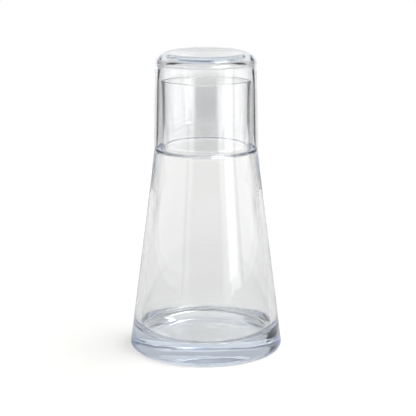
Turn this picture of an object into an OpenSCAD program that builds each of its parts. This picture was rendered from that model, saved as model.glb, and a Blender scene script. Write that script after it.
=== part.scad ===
// Bedside carafe with a tumbler that caps it, upside down, over the neck.
// Both pieces are bodies of revolution about Z. The carafe stands on z = 0.

/* [Carafe body] */
// Diameter at which the sloping side would meet the table
base_d = 108.6; // [96:0.2:124]
// Diameter of the sloping side at the shoulder
shoulder_d = 71.6; // [66:0.2:80]
// Height of the shoulder that the tumbler stands on
shoulder_h = 144; // [110:1:190]
// Wall just above the floor, measured level
foot_wall = 5; // [3.5:0.1:7]
// Wall where the inside starts to straighten towards the shoulder, measured level
bend_wall = 4.3; // [3.8:0.1:4.8]
// Distance from the shoulder down to where the inside starts to straighten
bend_drop = 28; // [22:1:44]
// Rounding of the inside where it straightens
bend_r = 400; // [200:10:450]
// Wall just below the throat, measured level
shoulder_wall = 3; // [2.6:0.1:3.5]
// Thickness of the glass under the floor
floor_t = 12.5; // [8:0.1:18]
// Rounding of the edge round the base
base_edge_r = 2.5; // [1:0.1:5]
// Rounding between the floor and the wall
floor_fillet_r = 7; // [3:0.1:9]
// Rounding of the shoulder's outer edge
shoulder_edge_r = 0.4; // [0.2:0.05:0.6]
// Diameter of the shallow hollow under the base
punt_d = 90; // [60:1:94]
// Depth of the shallow hollow under the base
punt_depth = 3; // [0.5:0.1:4]

/* [Neck] */
// Wall of the neck
neck_wall = 2.3; // [1.6:0.1:3.2]
// Gap between the neck's lip and the wall of the tumbler round it
neck_gap = 1.5; // [1:0.1:2.5]
// Gap between the neck's lip and the floor of the tumbler above it
lip_gap = 13; // [6:0.5:16]
// Rounding where the neck rises from the shoulder
neck_root_r = 0.6; // [0.4:0.1:1.2]
// Drop from the shoulder to the top of the throat, where the bore starts to widen
throat_drop = 1.5; // [1.2:0.1:3]
// Height of the throat between the neck's bore and the wall of the body
throat_h = 0.6; // [0.4:0.1:2]
// Rounding at the top of the throat
throat_top_r = 0.8; // [0.4:0.1:1.5]
// Rounding at the bottom of the throat
throat_foot_r = 1.2; // [0.5:0.1:2]

/* [Tumbler] */
// Height of the tumbler
tumbler_h = 66; // [54:1:90]
// Clearance between the tumbler's rim and the shoulder it stands on
seat_gap = 0.05; // [0.02:0.01:0.2]
// How far the tumbler's rim stands out past the shoulder
rim_overhang = 0.6; // [0.2:0.05:0.8]
// How far the tumbler's side draws in from rim to base, on the radius
tumbler_draw = 1.6; // [0.6:0.1:3]
// Wall of the tumbler at the rim
rim_wall = 2.4; // [2:0.1:3]
// Wall of the tumbler at its heel, where the inside starts to close in on the floor
tumbler_heel_wall = 2.3; // [2:0.1:3]
// Distance from the tumbler's floor down to its heel
tumbler_heel_drop = 17; // [14:0.5:20]
// Rounding of the inside at the heel
tumbler_heel_r = 120; // [60:5:160]
// Wall of the tumbler beside its floor
tumbler_foot_wall = 3.9; // [3.4:0.1:4.2]
// Thickness of the tumbler's base
tumbler_base_t = 5; // [4:0.5:9]
// Rounding of the outer edge of the tumbler's base
tumbler_edge_r = 8.5; // [5:0.1:10]
// Rounding between the tumbler's floor and wall
tumbler_fillet_r = 5; // [2:0.1:8]
// Diameter of the shallow hollow under the tumbler's base
tumbler_punt_d = 44; // [24:1:46]
// Depth of the shallow hollow under the tumbler's base
tumbler_punt_depth = 0.2; // [0.1:0.05:0.6]

/* [Hidden] */

// Share of a wall that each side of a fire-polished edge rounds off; the rest stays flat
polish_share = 0.42;
// Sides of a drawn circle, and of one that is larger than large_r
circle_sides = 180;
large_circle_sides = 7200;
large_r = 30;
// How much larger an arc is drawn, so that it crosses the lines it joins and doesn't just touch them
arc_overlap = 0.002;
// Margin of an arc's cap past its chord, as a share of the cap's own size
cap_margin_share = 0.2;

// Colourless glass, a little blue where it is thick
glass_tint = [0.88, 0.93, 0.97, 0.45];

base_r = base_d / 2;
shoulder_r = shoulder_d / 2;

// Radius of the carafe's sloping side at a height
function side_r(z) = base_r + (shoulder_r - base_r) * z / shoulder_h;

// Tumbler, upside down with its rim on the shoulder
rim_z = shoulder_h + seat_gap;
rim_r = shoulder_r + rim_overhang;
rim_bore_r = rim_r - rim_wall;
tumbler_base_r = rim_r - tumbler_draw;
tumbler_top_z = rim_z + tumbler_h;
tumbler_floor_z = tumbler_top_z - tumbler_base_t;
tumbler_heel_z = tumbler_floor_z - tumbler_heel_drop;

// Radius of the tumbler's side at a height
function tumbler_side_r(z) = rim_r - tumbler_draw * (z - rim_z) / tumbler_h;

tumbler_floor_r = tumbler_side_r(tumbler_floor_z) - tumbler_foot_wall;
tumbler_heel_bore_r = tumbler_side_r(tumbler_heel_z) - tumbler_heel_wall;

// Radius of the tumbler's inside at a height between its heel and its floor
function tumbler_bore_r(z) =
    let (share = (z - tumbler_heel_z) / tumbler_heel_drop)
    tumbler_heel_bore_r + (tumbler_floor_r - tumbler_heel_bore_r) * share;

// Neck, which stands inside the tumbler
lip_z = tumbler_floor_z - lip_gap;
neck_r = tumbler_bore_r(lip_z) - neck_gap;
bore_r = neck_r - neck_wall;
throat_top_z = shoulder_h - throat_drop;
throat_foot_z = throat_top_z - throat_h;

// Height at which the inside of the body starts to straighten
bend_z = shoulder_h - bend_drop;

// Half sections, from the axis outwards and anticlockwise round the glass,
// each corner with the radius that rounds it
carafe_corners = [
    [[0, 0], 0],
    [[base_r, 0], base_edge_r],
    [[shoulder_r, shoulder_h], shoulder_edge_r],
    [[neck_r, shoulder_h], neck_root_r],
    [[neck_r, lip_z], polish_share * neck_wall],
    [[bore_r, lip_z], polish_share * neck_wall],
    [[bore_r, throat_top_z], throat_top_r],
    [[side_r(throat_foot_z) - shoulder_wall, throat_foot_z], throat_foot_r],
    [[side_r(bend_z) - bend_wall, bend_z], bend_r],
    [[side_r(floor_t) - foot_wall, floor_t], floor_fillet_r],
    [[0, floor_t], 0]
];
tumbler_corners = [
    [[0, tumbler_floor_z], 0],
    [[tumbler_floor_r, tumbler_floor_z], tumbler_fillet_r],
    [[tumbler_heel_bore_r, tumbler_heel_z], tumbler_heel_r],
    [[rim_bore_r, rim_z], polish_share * rim_wall],
    [[rim_r, rim_z], polish_share * rim_wall],
    [[tumbler_base_r, tumbler_top_z], tumbler_edge_r],
    [[0, tumbler_top_z], 0]
];

function unit(v) = v / norm(v);

// Directions from a corner back to the one before it and on to the one after it
function back(corners, i) = unit(corners[i - 1][0] - corners[i][0]);
function ahead(corners, i) = unit(corners[i + 1][0] - corners[i][0]);
function half_angle(corners, i) = acos(back(corners, i) * ahead(corners, i)) / 2;
function turns_left(corners, i) = cross(back(corners, i), ahead(corners, i)) < 0;

// Where the arc that rounds a corner starts and ends, and its centre
function arc_ends(corners, i) =
    let (reach = corners[i][1] / tan(half_angle(corners, i)))
    [corners[i][0] + back(corners, i) * reach, corners[i][0] + ahead(corners, i) * reach];
function arc_centre(corners, i) =
    let (middle = unit(back(corners, i) + ahead(corners, i)))
    corners[i][0] + middle * corners[i][1] / sin(half_angle(corners, i));

// The outline with each rounded corner cut straight across between the ends of its arc
function cut_outline(corners) = [
    for (i = [0 : len(corners) - 1])
        for (p = corners[i][1] == 0 ? [corners[i][0]] : arc_ends(corners, i))
            p
];

// The cap of a disc between a corner's arc and a line just behind its chord
module arc_cap(corners, i) {
    centre = arc_centre(corners, i);
    ends = arc_ends(corners, i);
    aside = (ends[1] - ends[0]) * cap_margin_share;
    out = corners[i][0] - (ends[0] + ends[1]) / 2;
    root = out * cap_margin_share;
    intersection() {
        translate(centre)
            circle(
                corners[i][1] + arc_overlap,
                $fn = corners[i][1] > large_r ? large_circle_sides : circle_sides
            );
        polygon([
            ends[0] - aside - root,
            ends[0] - aside + out,
            ends[1] + aside + out,
            ends[1] + aside - root
        ]);
    }
}

// Caps of the rounded corners that turn left, or of those that turn right
module arc_caps(corners, left) {
    for (i = [0 : len(corners) - 1])
        if (corners[i][1] > 0 && turns_left(corners, i) == left)
            arc_cap(corners, i);
}

// A half section with every corner rounded by a true arc: outer corners are
// filled out to their arcs, and inner ones are scooped out to theirs
module rounded_section(corners) {
    difference() {
        union() {
            polygon(cut_outline(corners));
            arc_caps(corners, true);
        }
        arc_caps(corners, false);
    }
}

// The disc whose edge dishes a flat face that lies at z = 0, from below
module shallow_hollow(width, depth) {
    radius = (width * width / 4 + depth * depth) / (2 * depth);
    translate([0, depth - radius])
        circle(radius, $fn = large_circle_sides);
}

module carafe() {
    color(glass_tint)
        rotate_extrude($fn = circle_sides)
            difference() {
                rounded_section(carafe_corners);
                shallow_hollow(punt_d, punt_depth);
            }
}

module tumbler() {
    color(glass_tint)
        rotate_extrude($fn = circle_sides)
            difference() {
                rounded_section(tumbler_corners);
                translate([0, tumbler_top_z])
                    mirror([0, 1])
                        shallow_hollow(tumbler_punt_d, tumbler_punt_depth);
            }
}

carafe();
tumbler();
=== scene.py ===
# %% [markdown]
# # A bedside carafe with its tumbler, in clear glass
# The set is two bodies of revolution. The carafe is a cone of glass with a thick floor, a flat
# ledge for a shoulder and a straight neck. The tumbler caps it upside down, its rim on the ledge.
# This lesson revolves both walls with Geometry Nodes, gives them a soda-lime glass whose tint
# comes only from its depth, and lights them as a photographer lights glass: by placing what the
# glass will show, since clear glass has almost no look of its own.

# %% Load the frame
import math

import bmesh
import bpy
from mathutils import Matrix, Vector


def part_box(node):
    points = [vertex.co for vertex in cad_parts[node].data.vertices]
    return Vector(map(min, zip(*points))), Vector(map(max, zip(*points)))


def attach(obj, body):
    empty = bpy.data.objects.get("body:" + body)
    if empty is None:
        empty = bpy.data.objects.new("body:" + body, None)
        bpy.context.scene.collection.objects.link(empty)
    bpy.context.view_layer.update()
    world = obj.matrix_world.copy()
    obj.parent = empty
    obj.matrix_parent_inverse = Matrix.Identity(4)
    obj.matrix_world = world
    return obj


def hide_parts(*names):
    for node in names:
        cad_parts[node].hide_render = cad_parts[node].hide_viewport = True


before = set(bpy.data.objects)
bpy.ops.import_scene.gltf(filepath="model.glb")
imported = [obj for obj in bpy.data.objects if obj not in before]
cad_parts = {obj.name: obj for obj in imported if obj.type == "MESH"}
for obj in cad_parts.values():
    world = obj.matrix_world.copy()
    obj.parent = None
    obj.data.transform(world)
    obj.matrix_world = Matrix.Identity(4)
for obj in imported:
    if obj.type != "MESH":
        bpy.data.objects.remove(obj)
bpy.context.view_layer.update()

scene = bpy.context.scene
MM = 0.001

# %% [markdown]
# ## One helper for every node tree
# Materials, the studio and the Geometry Nodes tree are all graphs of nodes. One small function
# adds a node, sets its properties and fills its inputs: an input that is given another node's
# output is linked, and any other value is set on the socket itself.

# %% Add a node with its settings and links
def add(tree, kind, inputs=None, **settings):
    node = tree.nodes.new(kind)
    for name, value in settings.items():
        setattr(node, name, value)
    for key, value in (inputs or {}).items():
        if isinstance(value, bpy.types.NodeSocket):
            tree.links.new(value, node.inputs[key])
        else:
            node.inputs[key].default_value = value
    return node


print("helper ready:", add.__name__)

# %% [markdown]
# ## Colours as they are written on paper
# A colour picker gives sRGB hex values, but shaders count light, which is linear. One function
# turns the first into the second, so that every colour below is written the way people share it.

# %% From sRGB hex to linear light
def linear(hex_colour):
    """An sRGB hex colour such as "#f2f3f5" as linear RGBA."""
    channels = [int(hex_colour[i:i + 2], 16) / 255 for i in (1, 3, 5)]
    return tuple(c / 12.92 if c <= 0.04045 else ((c + 0.055) / 1.055) ** 2.4 for c in channels) + (1.0,)


print("half grey #808080 is", round(linear("#808080")[0], 3), "in linear light")

# %% [markdown]
# ## The sizes of both walls
# The heights of the rim, the lip and the top come from the frame, so that the glass stands where
# the CAD model stands. The other sizes repeat the ones of the CAD model. The neck is fitted last,
# because it has to clear the inside of the tumbler at the lip.

# %% Sizes of the carafe
rim_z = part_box("tumbler")[0][2]
seat_gap = 0.05 * MM
shoulder_z = rim_z - seat_gap

base_r = 54.3 * MM
shoulder_r = 35.8 * MM
foot_wall = 5 * MM
bend_wall = 4.3 * MM
shoulder_wall = 3 * MM
floor_z = 12.5 * MM
bend_z = shoulder_z - 28 * MM
throat_z = shoulder_z - 1.5 * MM
throat_foot_z = throat_z - 0.6 * MM

# Roundings, from the base up and down the inside
base_edge_r = 2.5 * MM
ledge_edge_r = 0.4 * MM
neck_root_r = 0.6 * MM
throat_top_r = 0.8 * MM
throat_foot_r = 1.2 * MM
bend_r = 400 * MM
floor_fillet_r = 7 * MM

# The hollow under the base
punt_d = 90 * MM
punt_depth = 3 * MM


def side_r(z):
    """Radius of the carafe's sloping side at a height."""
    return base_r + (shoulder_r - base_r) * z / shoulder_z


lean = math.degrees(math.atan2(base_r - shoulder_r, shoulder_z))
print(f"ledge at {shoulder_z / MM:.2f} mm, side leans in by {lean:.1f} degrees")

# %% Sizes of the tumbler, upside down
top_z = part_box("tumbler")[1][2]
rim_r = 36.4 * MM
rim_wall = 2.4 * MM
heel_wall = 2.3 * MM
tumbler_foot_wall = 3.9 * MM
tumbler_draw = 1.6 * MM
ceiling_z = top_z - 5 * MM
heel_z = ceiling_z - 17 * MM

tumbler_edge_r = 8.5 * MM
ceiling_fillet_r = 5 * MM
heel_round_r = 120 * MM
tumbler_punt_d = 44 * MM
tumbler_punt_depth = 0.2 * MM


def tumbler_side_r(z):
    """Radius of the tumbler's side at a height."""
    return rim_r - tumbler_draw * (z - rim_z) / (top_z - rim_z)


heel_r = tumbler_side_r(heel_z) - heel_wall
ceiling_r = tumbler_side_r(ceiling_z) - tumbler_foot_wall
print(f"inside of the tumbler: {heel_r / MM:.2f} mm at the heel, {ceiling_r / MM:.2f} mm at the ceiling")

# %% Sizes of the neck, which stands inside the tumbler
lip_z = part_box("carafe")[1][2]
neck_wall = 2.3 * MM
neck_gap = 1.5 * MM
bore_at_lip = heel_r + (ceiling_r - heel_r) * (lip_z - heel_z) / (ceiling_z - heel_z)
neck_r = bore_at_lip - neck_gap
bore_r = neck_r - neck_wall
print(f"neck {neck_r / MM:.2f} mm, bore {bore_r / MM:.2f} mm, lip at {lip_z / MM:.2f} mm")

# %% [markdown]
# ## Two half sections
# A glassmaker would draw each wall once. The carafe's goes from the axis out under the base, up
# the side, over the ledge and the neck, and back down the inside to the floor. Each corner carries
# the radius that rounds it, and how much the surface ripples there. The outside is as true as the
# mould, so it has no ripple, and the floor and the hollow under the base, where the glass is thick
# and sets last, have the most. Lip and rim are fire-polished: their edges are almost a half round.

# %% The two half sections
polish_share = 0.42
wall_ripple_share = 1
floor_ripple_share = 2
floor_edge_ripple_share = 8
punt_ripple_share = 12


def hollow(width, depth, face_z, up, ripple):
    """Corners of the shallow hollow that dishes a flat face, from the axis to its edge."""
    radius = (width * width / 4 + depth * depth) / (2 * depth)
    steps = 12
    corners = []
    for i in range(steps + 1):
        r = width / 2 * i / steps
        sag = radius - math.sqrt(radius * radius - r * r)
        corners.append((r, face_z + up * (depth - sag), 0, ripple if i < steps else 0))
    return corners


# Each corner is its radius, its height, the rounding there and how much the surface ripples
carafe_section = hollow(punt_d, punt_depth, 0, 1, punt_ripple_share) + [
    (base_r, 0, base_edge_r, 0),
    (shoulder_r, shoulder_z, ledge_edge_r, 0),
    (neck_r, shoulder_z, neck_root_r, 0),
    (neck_r, lip_z, polish_share * neck_wall, 0),
    (bore_r, lip_z, polish_share * neck_wall, 0),
    (bore_r, throat_z, throat_top_r, 0),
    (side_r(throat_foot_z) - shoulder_wall, throat_foot_z, throat_foot_r, 0),
    (side_r(bend_z) - bend_wall, bend_z, bend_r, wall_ripple_share),
    (side_r(floor_z) - foot_wall, floor_z, floor_fillet_r, floor_edge_ripple_share),
    (0, floor_z, 0, floor_ripple_share),
]
tumbler_section = [
    (0, ceiling_z, 0, wall_ripple_share),
    (ceiling_r, ceiling_z, ceiling_fillet_r, wall_ripple_share),
    (heel_r, heel_z, heel_round_r, wall_ripple_share),
    (rim_r - rim_wall, rim_z, polish_share * rim_wall, 0),
    (rim_r, rim_z, polish_share * rim_wall, 0),
    (rim_r - tumbler_draw, top_z, tumbler_edge_r, 0),
] + hollow(tumbler_punt_d, tumbler_punt_depth, top_z, -1, 0)[::-1]
print("corners", len(carafe_section), "and", len(tumbler_section))

# %% [markdown]
# ## Revolving a wall with Geometry Nodes
# Blown and pressed glass is turned, so the shape is a rule: a section swept round an axis. A Screw
# modifier could do it, but a node tree can also round the corners, share out the points and ripple
# the inside. The tree gets named inputs, so that both pieces use the same one.

# %% The tree and its named inputs
turned_glass = bpy.data.node_groups.new("turned_glass", "GeometryNodeTree")
turned_glass.interface.new_socket("Geometry", in_out="INPUT", socket_type="NodeSocketGeometry")
turned_glass.interface.new_socket("Geometry", in_out="OUTPUT", socket_type="NodeSocketGeometry")
for name, kind in (
    ("Sides", "NodeSocketInt"),
    ("Arc steps", "NodeSocketInt"),
    ("Longest span", "NodeSocketFloat"),
    ("Ripple height", "NodeSocketFloat"),
    ("Ripple width", "NodeSocketFloat"),
    ("Seed", "NodeSocketFloat"),
    ("Glass", "NodeSocketMaterial"),
):
    turned_glass.interface.new_socket(name, in_out="INPUT", socket_type=kind)
sizes = add(turned_glass, "NodeGroupInput").outputs
print("inputs", [socket.name for socket in sizes if socket.name])

# %% [markdown]
# The first part of the tree draws the section. It takes the corners as a polyline and fillets each
# with its own radius. Then it measures every straight run to the next point and cuts the long ones,
# so that smooth shading never bends a flat wall.

# %% Draw the rounded section
def rounded_section(tree):
    line = add(tree, "GeometryNodeMeshToCurve", {"Mesh": sizes["Geometry"]})
    rounding = add(tree, "GeometryNodeInputNamedAttribute", {"Name": "rounding"}, data_type="FLOAT")
    rounded = add(tree, "GeometryNodeFilletCurve", {
        "Curve": line.outputs[0],
        "Radius": rounding.outputs[0],
        "Count": sizes["Arc steps"],
    }, mode="POLY")
    place = add(tree, "GeometryNodeInputPosition")
    index = add(tree, "GeometryNodeInputIndex")
    after = add(tree, "GeometryNodeOffsetPointInCurve", {"Point Index": index.outputs[0], "Offset": 1})
    ahead = add(tree, "GeometryNodeFieldAtIndex", {
        "Index": after.outputs["Point Index"],
        "Value": place.outputs[0],
    }, data_type="FLOAT_VECTOR", domain="POINT")
    run = add(tree, "ShaderNodeVectorMath", {0: place.outputs[0], 1: ahead.outputs[0]}, operation="DISTANCE")
    spans = add(tree, "ShaderNodeMath", {
        0: run.outputs["Value"],
        1: sizes["Longest span"],
    }, operation="DIVIDE")
    cuts = add(tree, "FunctionNodeFloatToInt", {0: spans.outputs[0]}, rounding_mode="FLOOR")
    return add(tree, "GeometryNodeSubdivideCurve", {"Curve": rounded.outputs[0], "Cuts": cuts.outputs[0]})


drawn = rounded_section(turned_glass)
print("section drawn with", len(turned_glass.nodes), "nodes")

# %% [markdown]
# The second part sweeps the section round a circle. A sweep draws its profile about the circle's
# own line, so the section will be given as distances from that line. Where the section meets the
# axis, the sweep leaves a ring of points in one place, which are welded to a pole.

# %% Sweep it round and weld the poles
SWEEP_R = 100 * MM
weld_reach = 1e-6


def swept_wall(tree, section):
    circle = add(tree, "GeometryNodeCurvePrimitiveCircle", {"Resolution": sizes["Sides"], "Radius": SWEEP_R})
    upright = add(tree, "GeometryNodeSetCurveNormal", {"Curve": circle.outputs[0]}, mode="Z_UP")
    swept = add(tree, "GeometryNodeCurveToMesh", {
        "Curve": upright.outputs[0],
        "Profile Curve": section.outputs[0],
    })
    return add(tree, "GeometryNodeMergeByDistance", {"Geometry": swept.outputs[0], "Distance": weld_reach})


wall = swept_wall(turned_glass, drawn)
print("wall swept with", len(turned_glass.nodes), "nodes")

# %% [markdown]
# The last part lifts the surface by a slow noise, as much as each corner's ripple says. It is only
# hundredths of a millimetre, but glass bends what is seen through it, so even that breaks up lines
# that would look drawn with a ruler. The tree ends with real geometry that has its material.

# %% Ripple the surface and finish the tree
def rippled_wall(tree, plain):
    share = add(tree, "GeometryNodeInputNamedAttribute", {"Name": "ripple"}, data_type="FLOAT")
    place = add(tree, "GeometryNodeInputPosition")
    fine = add(tree, "ShaderNodeMath", {0: 1.0, 1: sizes["Ripple width"]}, operation="DIVIDE")
    noise = add(tree, "ShaderNodeTexNoise", {
        "Vector": place.outputs[0],
        "W": sizes["Seed"],
        "Scale": fine.outputs[0],
        "Detail": 1.0,
    }, noise_dimensions="4D")
    swing = add(tree, "ShaderNodeMath", {0: noise.outputs[0], 1: 0.5}, operation="SUBTRACT")
    height = add(tree, "ShaderNodeMath", {
        0: swing.outputs[0],
        1: sizes["Ripple height"],
    }, operation="MULTIPLY")
    lift = add(tree, "ShaderNodeMath", {0: height.outputs[0], 1: share.outputs[0]}, operation="MULTIPLY")
    normal = add(tree, "GeometryNodeInputNormal")
    offset = add(tree, "ShaderNodeVectorMath", {
        0: normal.outputs[0],
        "Scale": lift.outputs[0],
    }, operation="SCALE")
    return add(tree, "GeometryNodeSetPosition", {"Geometry": plain.outputs[0], "Offset": offset.outputs[0]})


rippled = rippled_wall(turned_glass, wall)
smooth = add(turned_glass, "GeometryNodeSetShadeSmooth", {"Geometry": rippled.outputs[0]})
real = add(turned_glass, "GeometryNodeRealizeInstances", {"Geometry": smooth.outputs[0]})
glazed = add(turned_glass, "GeometryNodeSetMaterial", {
    "Geometry": real.outputs[0],
    "Material": sizes["Glass"],
})
add(turned_glass, "NodeGroupOutput", {0: glazed.outputs[0]})
print("tree", turned_glass.name, "with", len(turned_glass.nodes), "nodes")

# %% [markdown]
# ## The glass
# Household glass is soda-lime: its index is 1.52, it is polished by the mould and the flame, and
# iron traces tint it. The tint belongs in the volume: a thin wall stays clear, and the floor, seen
# through ten centimetres of glass, turns blue. Colour on the surface would tint both alike.
# Two faults of real glass keep it from looking like a drawing: cords, which are streaks drawn out
# along the wall as the gather was pulled, and a faint haze from washing. Cords are far too shallow
# to model, so they are a bump that is stretched up and down.

# %% Soda-lime glass
def soda_lime_glass():
    material = bpy.data.materials.new("soda_lime_glass")
    material.use_nodes = True
    tree = material.node_tree
    tree.nodes.clear()
    where = add(tree, "ShaderNodeTexCoord")

    # Cords about 5 mm wide and ten times as long
    cord_width = 5 * MM
    cord_depth = 0.2 * MM
    stretched = add(tree, "ShaderNodeMapping", {"Vector": where.outputs["Object"], "Scale": (1, 1, 0.1)})
    cords = add(tree, "ShaderNodeTexNoise", {
        "Vector": stretched.outputs[0],
        "Scale": 1 / cord_width,
        "Detail": 2.0,
        "Roughness": 0.4,
    })
    bump = add(tree, "ShaderNodeBump", {"Height": cords.outputs[0], "Strength": 0.03, "Distance": cord_depth})

    # Haze in patches of about 30 mm, at most a hundredth in roughness
    haze_patch = 30 * MM
    haze = add(tree, "ShaderNodeTexNoise", {
        "Vector": where.outputs["Object"],
        "Scale": 1 / haze_patch,
        "Detail": 3.0,
    })
    dull = add(tree, "ShaderNodeMapRange", {
        "Value": haze.outputs[0],
        "From Min": 0.5,
        "From Max": 0.8,
        "To Min": 0.0,
        "To Max": 0.01,
    })
    surface = add(tree, "ShaderNodeBsdfPrincipled", {
        "Base Color": linear("#ffffff"),
        "Transmission Weight": 1.0,
        "IOR": 1.52,
        "Roughness": dull.outputs[0],
        "Normal": bump.outputs[0],
    })
    depth = add(tree, "ShaderNodeVolumeAbsorption", {"Color": linear("#cbdff9"), "Density": 5.5})
    add(tree, "ShaderNodeOutputMaterial", {"Surface": surface.outputs[0], "Volume": depth.outputs[0]})
    return material


glass = soda_lime_glass()
print("material", glass.name)

# %% [markdown]
# ## Turning the sections into glass
# Each section goes into a mesh of points and edges with two attributes, the rounding and the
# ripple. The modifier's inputs are set by their identifiers before anything is evaluated. The
# evaluated result is then copied to a plain mesh, its normals are turned outwards, and the
# modifier goes, so that what is left is an ordinary closed mesh at the origin.

# %% From section to closed mesh
def turned(name, section, longest_span, seed):
    mesh = bpy.data.meshes.new(name)
    # A sweep lays the section's X outwards and its Y downwards
    points = [(r - SWEEP_R, -z, 0) for r, z, _, _ in section]
    mesh.from_pydata(points, [(i, i + 1) for i in range(len(points) - 1)], [])
    for attribute, column in (("rounding", 2), ("ripple", 3)):
        layer = mesh.attributes.new(attribute, "FLOAT", "POINT")
        layer.data.foreach_set("value", [corner[column] for corner in section])
    piece = bpy.data.objects.new(name, mesh)
    scene.collection.objects.link(piece)

    modifier = piece.modifiers.new("turned", "NODES")
    modifier.node_group = turned_glass
    values = {
        "Sides": 224,
        "Arc steps": 11,
        "Longest span": longest_span,
        "Ripple height": 0.015 * MM,
        "Ripple width": 9 * MM,
        "Seed": seed,
        "Glass": glass,
    }
    for item in turned_glass.interface.items_tree:
        if item.in_out == "INPUT" and item.name in values:
            modifier[item.identifier] = values[item.name]
    solid = bpy.data.meshes.new_from_object(piece.evaluated_get(bpy.context.evaluated_depsgraph_get()))
    piece.modifiers.remove(modifier)
    piece.data = solid
    bpy.data.meshes.remove(mesh)
    solid.name = name

    work = bmesh.new()
    work.from_mesh(solid)
    bmesh.ops.recalc_face_normals(work, faces=work.faces)
    open_edges = sum(1 for edge in work.edges if not edge.is_manifold)
    volume = work.calc_volume(signed=True)
    work.to_mesh(solid)
    work.free()
    heights = [vertex.co.z / MM for vertex in solid.vertices]
    print(f"{name}: {len(solid.polygons)} faces, {open_edges} open edges, {volume * 1e6:.1f} ml of glass,"
          f" {min(heights):.2f} to {max(heights):.2f} mm high")
    return piece


carafe = turned("carafe_glass", carafe_section, longest_span=2.4 * MM, seed=3.0)
tumbler = turned("tumbler_glass", tumbler_section, longest_span=2.0 * MM, seed=8.0)

# %% [markdown]
# ## Standing in for the CAD solids
# The CAD solids stay behind for weight and collision, and the glass is what shows. Each piece rides
# on the body of the same name, so that the tumbler lifts off when its joint slides.

# %% The pieces take the places of the CAD solids
for piece, node in ((carafe, "carafe"), (tumbler, "tumbler")):
    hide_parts(node)
    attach(piece, node)
print("glass pieces", [piece.name for piece in (carafe, tumbler)])

# %% [markdown]
# ## The camera
# The set was seen from a metre away and a third of a metre up, through a long lens. The small
# shift keeps the axis two pixels left of the middle of the frame.

# %% Camera
camera_distance = 1.0231
camera_height = 0.3439
camera_pitch = 13.432
lens = bpy.data.cameras.new("camera")
lens.sensor_width = 36
lens.lens = 128.92
lens.shift_x = 0.0047
camera = bpy.data.objects.new("camera", lens)
camera.location = (0, -camera_distance, camera_height)
camera.rotation_euler = (math.radians(90 - camera_pitch), 0, 0)
scene.collection.objects.link(camera)
scene.camera = camera
print("camera", [round(v, 3) for v in camera.location], "lens", round(lens.lens, 2), "mm")

# %% [markdown]
# ## The studio
# Clear glass shows what stands round it. A wall that is seen edge-on gathers light from far to the
# side, so the dark lines that draw a glass on a white ground are dark gaps beside a pale backdrop.
# Cards and lamps could be modelled one by one. Here they are painted on the world as panels, each a
# patch of sky between two bearings and two heights, because a panel is moved by changing a number.
# The key light is a soft box overhead that leans to the right, so the shadow is short and falls to
# the left. Cards at both sides give the bright streaks, and the dim room on the camera's side gives
# the grey band down the middle of the tumbler. The camera itself sees plain white, and through the
# glass the backdrop shows a little greyer, as it does on the real set.

# %% Panels of the studio
# Bearings are in degrees from straight behind the glass, + to the right. A panel on both sides
# counts its bearing either way. A later panel covers the ones before it.
open_sky = 0.78
panels = [
    # name, brightness, bearings, their soft edge, heights, their soft edge, on both sides
    ("backdrop", 0.56, (-1, 70), 4, (-90, 46), 2, True),
    ("top of the backdrop", 0.42, (-1, 20), 3, (30, 46), 3, True),
    ("foot of the backdrop", 0.77, (-1, 30), 3, (-90, -4), 2, True),
    ("middle of the backdrop", 0.95, (-1, 30), 3, (-4, 14), 3, True),
    ("dark gaps", 0.01, (32, 44), 2, (-90, 6), 1, True),
    ("wider gap, right", 0.01, (42, 68), 2, (-90, 4), 1, False),
    ("wider gap, left", 0.01, (-68, -42), 2, (-90, 28), 3, False),
    ("dark corners above", 0.01, (18, 45), 2, (33, 45), 1, True),
    ("side walls", 0.35, (70, 150), 2, (-90, 50), 4, True),
    ("card, right", 1.8, (70, 150), 2, (-90, 6), 3, False),
    ("card, left", 1.35, (-150, -70), 2, (-90, 6), 3, False),
    ("bright strip, right", 4.0, (119, 137), 1, (-90, 6), 3, False),
    ("slit, right", 0.1, (112, 117), 1, (-90, 6), 3, False),
    ("slit, left", 0.1, (-141, -137), 1, (-90, 6), 3, False),
    ("dim room", 0.03, (152, 190), 2, (-90, 36), 6, True),
    ("pale card in it", 0.75, (148, 190), 10, (-4, 12), 3, True),
    ("soft box overhead", 9.5, (40, 140), 6, (60, 80), 4, False),
]


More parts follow.
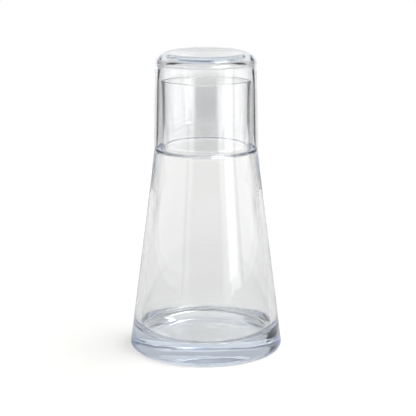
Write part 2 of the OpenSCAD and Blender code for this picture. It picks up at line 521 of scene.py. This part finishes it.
def studio():
    world = bpy.data.worlds.new("studio")
    world.use_nodes = True
    tree = world.node_tree
    tree.nodes.clear()
    towards = add(tree, "ShaderNodeSeparateXYZ", {0: add(tree, "ShaderNodeTexCoord").outputs["Generated"]})
    turn = add(tree, "ShaderNodeMath", {
        0: towards.outputs["X"],
        1: towards.outputs["Y"],
    }, operation="ARCTAN2")
    bearing = add(tree, "ShaderNodeMath", {0: turn.outputs[0]}, operation="DEGREES").outputs[0]
    either = add(tree, "ShaderNodeMath", {0: bearing}, operation="ABSOLUTE").outputs[0]
    rise = add(tree, "ShaderNodeMath", {0: towards.outputs["Z"]}, operation="ARCSINE")
    height = add(tree, "ShaderNodeMath", {0: rise.outputs[0]}, operation="DEGREES").outputs[0]

    light = (open_sky, open_sky, open_sky, 1)
    for _, brightness, bearings, side_edge, heights, top_edge, both in panels:
        across = (either if both else bearing, bearings, side_edge)
        upwards = (height, heights, top_edge)
        cover = 1.0
        for angle, (start, end), edge in (across, upwards):
            for limit, low, high in ((start, 0.0, 1.0), (end, 1.0, 0.0)):
                side = add(tree, "ShaderNodeMapRange", {
                    "Value": angle,
                    "From Min": limit - edge,
                    "From Max": limit + edge,
                    "To Min": low,
                    "To Max": high,
                }, interpolation_type="SMOOTHSTEP")
                inside = add(tree, "ShaderNodeMath", {0: cover, 1: side.outputs[0]}, operation="MULTIPLY")
                cover = inside.outputs[0]
        light = add(tree, "ShaderNodeMix", {
            "Factor": cover,
            6: light,
            7: (brightness, brightness, brightness, 1),
        }, data_type="RGBA").outputs[2]

    path = add(tree, "ShaderNodeLightPath")
    seen = add(tree, "ShaderNodeMix", {
        "Factor": path.outputs["Is Camera Ray"],
        6: light,
        7: linear("#ffffff"),
    }, data_type="RGBA")
    sky = add(tree, "ShaderNodeBackground", {"Color": seen.outputs[2], "Strength": 1.0})
    add(tree, "ShaderNodeOutputWorld", {"Surface": sky.outputs[0]})
    scene.world = world
    return world


print(studio().name, "with panels:", "; ".join(panel[0] for panel in panels))

# %% [markdown]
# ## The paper
# The set stands on a flat sheet of white paper, whose sides fade out into the dark of the studio.
# The studio lights it, so it keeps the soft shadow beside the base. A glow that only the camera
# sees carries it up to white, as the exposure for a white ground does. The glass sees the paper
# without that glow, and a little brighter at the back, where a painted glow stands in for the
# light that the backdrop would shine on it.

# %% Paper sheet
def paper_sheet():
    half_width = 0.68
    soft_edge = 0.1
    front = -0.65
    back = 0.62
    below = -0.2 * MM
    reach = half_width + soft_edge
    mesh = bpy.data.meshes.new("paper_sheet")
    mesh.from_pydata(
        [(-reach, front, below), (reach, front, below), (reach, back, below), (-reach, back, below)],
        [], [(0, 1, 2, 3)],
    )
    sheet = bpy.data.objects.new("paper_sheet", mesh)
    scene.collection.objects.link(sheet)

    material = bpy.data.materials.new("white_paper")
    material.use_nodes = True
    tree = material.node_tree
    tree.nodes.clear()
    where = add(tree, "ShaderNodeTexCoord")
    place = add(tree, "ShaderNodeSeparateXYZ", {0: where.outputs["Object"]})
    aside = add(tree, "ShaderNodeMath", {0: place.outputs["X"]}, operation="ABSOLUTE")
    fade = add(tree, "ShaderNodeMapRange", {
        "Value": aside.outputs[0],
        "From Min": half_width - soft_edge,
        "From Max": half_width + soft_edge,
    }, interpolation_type="SMOOTHSTEP")

    camera_glow = 0.295
    # Painted light: a glow that grows towards the back of the paper, standing in for light from the backdrop
    painted_backdrop_light = 0.12
    behind = add(tree, "ShaderNodeMapRange", {
        "Value": place.outputs["Y"],
        "From Min": 0.15,
        "From Max": 0.55,
        "To Min": 0.0,
        "To Max": painted_backdrop_light,
    })
    path = add(tree, "ShaderNodeLightPath")
    # The paper's emission: the camera's glow up to white, plus the painted backdrop light towards the back
    glow = add(tree, "ShaderNodeMath", {
        0: path.outputs["Is Camera Ray"],
        1: camera_glow,
        2: behind.outputs[0],
    }, operation="MULTIPLY_ADD")
    paper = add(tree, "ShaderNodeBsdfDiffuse", {"Color": linear("#d9d9d7")})
    lit = add(tree, "ShaderNodeEmission", {"Color": linear("#fffefb"), "Strength": glow.outputs[0]})
    both = add(tree, "ShaderNodeAddShader", {0: paper.outputs[0], 1: lit.outputs[0]})
    none = add(tree, "ShaderNodeBsdfTransparent")
    cut = add(tree, "ShaderNodeMixShader", {0: fade.outputs[0], 1: both.outputs[0], 2: none.outputs[0]})
    add(tree, "ShaderNodeOutputMaterial", {"Surface": cut.outputs[0]})
    mesh.materials.append(material)
    return sheet


sheet = paper_sheet()
print("sheet", [round(v, 2) for v in sheet.dimensions], "m")

# %% [markdown]
# ## Letting light through
# A ray through the set crosses up to sixteen surfaces, and more where it is trapped in the base.
# Cycles stops after twelve bounces by default, which leaves black specks, so it gets more. Filter
# Glossy, which blurs glass for light that has met paper, would keep the light from finding its way
# through the glass and make the shadow too heavy, so it is off.

# %% Bounces and view
most_bounces = 40
scene.cycles.max_bounces = most_bounces
scene.cycles.transmission_bounces = most_bounces
scene.cycles.glossy_bounces = most_bounces
scene.cycles.blur_glossy = 0.0
scene.view_settings.view_transform = "Standard"
print("bounces", scene.cycles.max_bounces, "view", scene.view_settings.view_transform)
